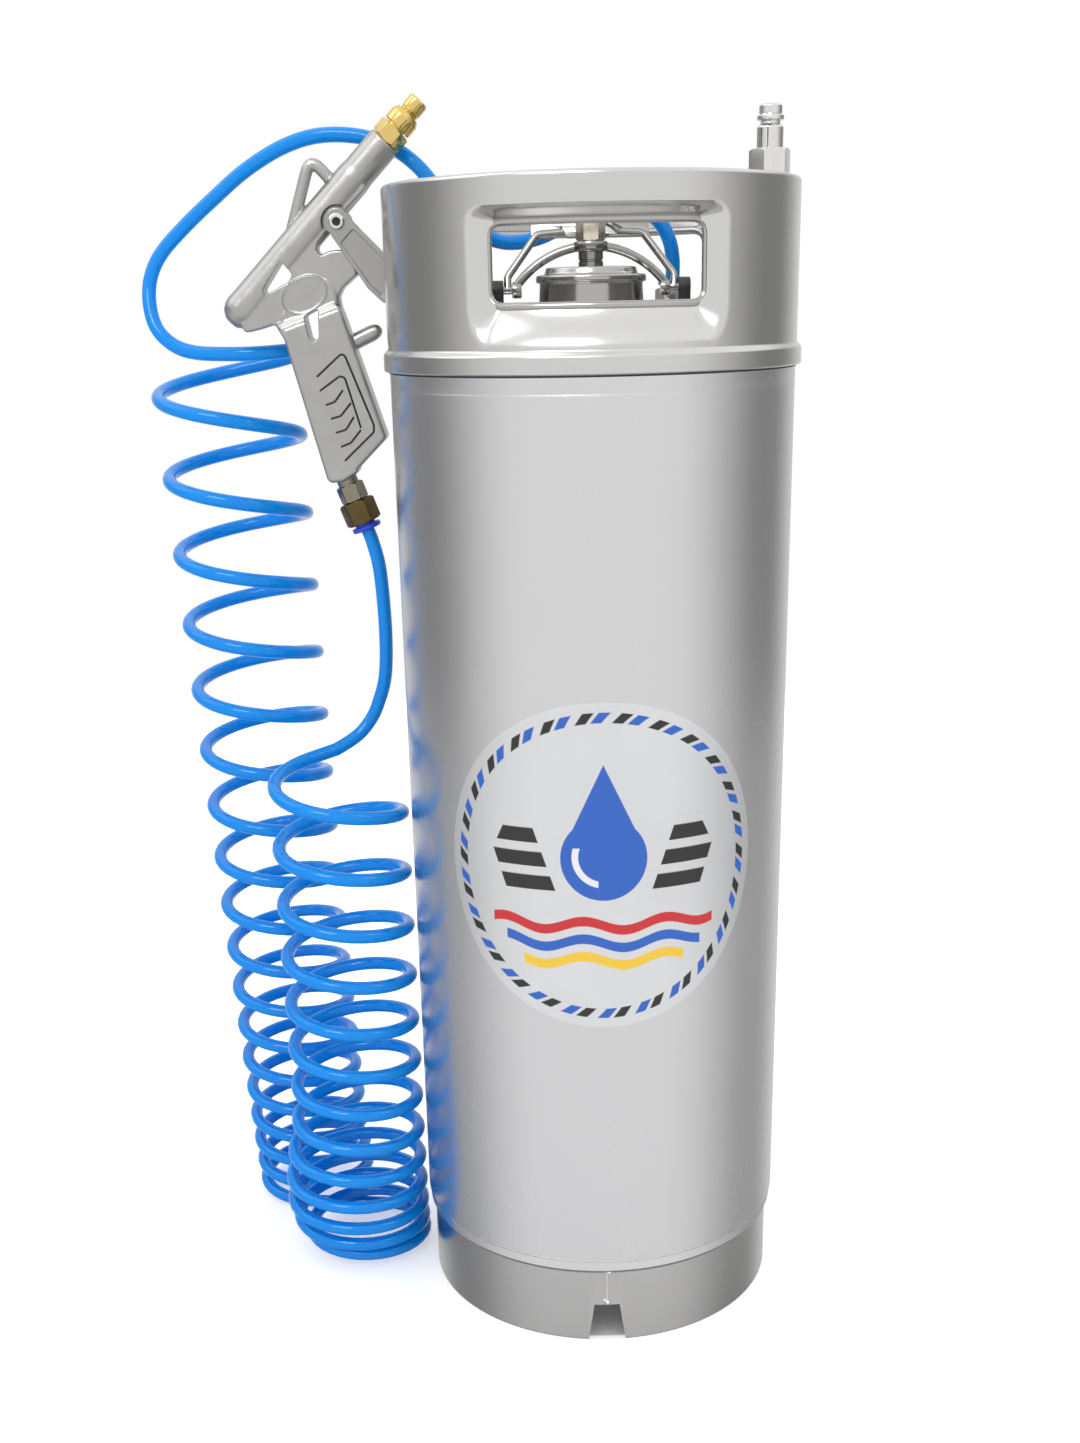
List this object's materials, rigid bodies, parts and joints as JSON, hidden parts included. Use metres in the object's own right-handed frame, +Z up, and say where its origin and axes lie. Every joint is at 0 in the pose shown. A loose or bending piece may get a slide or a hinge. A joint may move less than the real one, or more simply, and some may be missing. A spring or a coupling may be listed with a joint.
{
  "type": "pressure sprayer tank",
  "caption": "Tall stainless pressure tank with a collar with hand openings, an oval lid with relief valve, and a curly blue air hose to a cast blow gun.",
  "frame": {"origin": "centre of the foot ring on the floor", "axes": "+Z up along the tank axis, +X towards the inlet plug, the gun and hose on -X, the label and one hand opening facing -Y"},
  "size_m": [0.3658, 0.2453, 0.6784],
  "materials": {
    "stainless_satin": "satin, fine lines round the barrel",
    "stainless_bright": "bright rolled sheet",
    "plated_steel": "nickel plate",
    "spring_steel": "drawn wire",
    "dark_steel": "black oxide",
    "brass": "turned and polished",
    "dark_brass": "aged olive brown",
    "rubber": "matt black",
    "blue_plastic": "moulded",
    "hose_blue": "glossy extruded polyurethane",
    "cast_aluminium": "die cast and tumbled",
    "printed_film": null
  },
  "bodies": {
    "tank": {"barrel_shell": "stainless_satin", "top_head": "stainless_satin", "bottom_head": "stainless_satin", "collar": "stainless_bright", "foot_ring": "stainless_bright", "label_film": "printed_film", "lid_plate": "stainless_bright", "lid_seal": "rubber", "spring_bow": "stainless_bright", "relief_body": "stainless_bright", "relief_cap": "plated_steel", "relief_spring": "spring_steel", "inlet_riser": "stainless_bright", "inlet_seal": "rubber", "inlet_plug": "plated_steel", "outlet_body": "plated_steel", "outlet_seal": "rubber", "dip_tube": "stainless_satin", "hose_lead": "hose_blue", "hose_coil": "hose_blue", "hose_rise": "hose_blue", "gun_body": "cast_aluminium", "pivot_screw": "dark_steel", "valve_cap": "plated_steel", "valve_seal": "rubber", "valve_spring": "spring_steel", "nozzle_nut": "brass", "nozzle_seal": "rubber", "gun_adaptor": "brass", "gun_nut": "dark_brass", "gun_hose_seal": "rubber"},
    "lever": {"lid_lever": "stainless_bright", "lid_feet": "rubber"},
    "relief_stem": {"relief_stem": "plated_steel"},
    "pull_ring": {"pull_ring": "plated_steel"},
    "trigger": {"trigger": "cast_aluminium"},
    "valve_stem": {"valve_stem": "brass"},
    "nozzle": {"nozzle_ring": "brass", "nozzle_tip": "brass"},
    "gun_collet": {"gun_collet": "blue_plastic"},
    "outlet_collet": {"outlet_collet": "blue_plastic"}
  },
  "joints": [
    {"name": "lever_hinge", "type": "hinge", "parent": "tank", "child": "lever", "pos_m": [0, 0, 0.579], "axis": [-1, 0, 0], "range_deg": [0, 50]},
    {"name": "relief_pull", "type": "slide", "parent": "tank", "child": "relief_stem", "axis": [0, 0, 1], "range_m": [0, 0.003], "stiffness_N_per_m": 400, "springref_m": -0.004, "deforming": ["relief_spring"]},
    {"name": "ring_swing", "type": "hinge", "parent": "relief_stem", "child": "pull_ring", "pos_m": [0, 0, 0.616], "axis": [0, -1, 0], "range_deg": [0, 110]},
    {"name": "trigger_pull", "type": "hinge", "parent": "tank", "child": "trigger", "pos_m": [-0.1355, 0.045, 0.616], "axis": [0, 1, 0], "range_deg": [0, 12], "stiffness_Nm_per_rad": 0.6, "springref_deg": -5.73},
    {"name": "valve_push", "type": "slide", "parent": "tank", "child": "valve_stem", "axis": [-0.7071, 0, -0.7071], "range_m": [0, 0.0039], "deforming": ["valve_spring"]},
    {"name": "nozzle_turn", "type": "hinge", "parent": "tank", "child": "nozzle", "pos_m": [-0.09887, 0.045, 0.66493], "axis": [0.7071, 0, 0.7071], "range_deg": [0, 270]},
    {"name": "gun_release", "type": "slide", "parent": "tank", "child": "gun_collet", "axis": [-0.342, 0, 0.9397], "range_m": [0, 0.0012], "stiffness_N_per_m": 300, "springref_m": -0.002},
    {"name": "outlet_release", "type": "slide", "parent": "tank", "child": "outlet_collet", "axis": [0, 0, -1], "range_m": [0, 0.0012], "stiffness_N_per_m": 300, "springref_m": -0.002}
  ],
  "couplings": [
    {"joint": "valve_push", "follows": "trigger_pull", "m_per_rad": 0.0185}
  ]
}
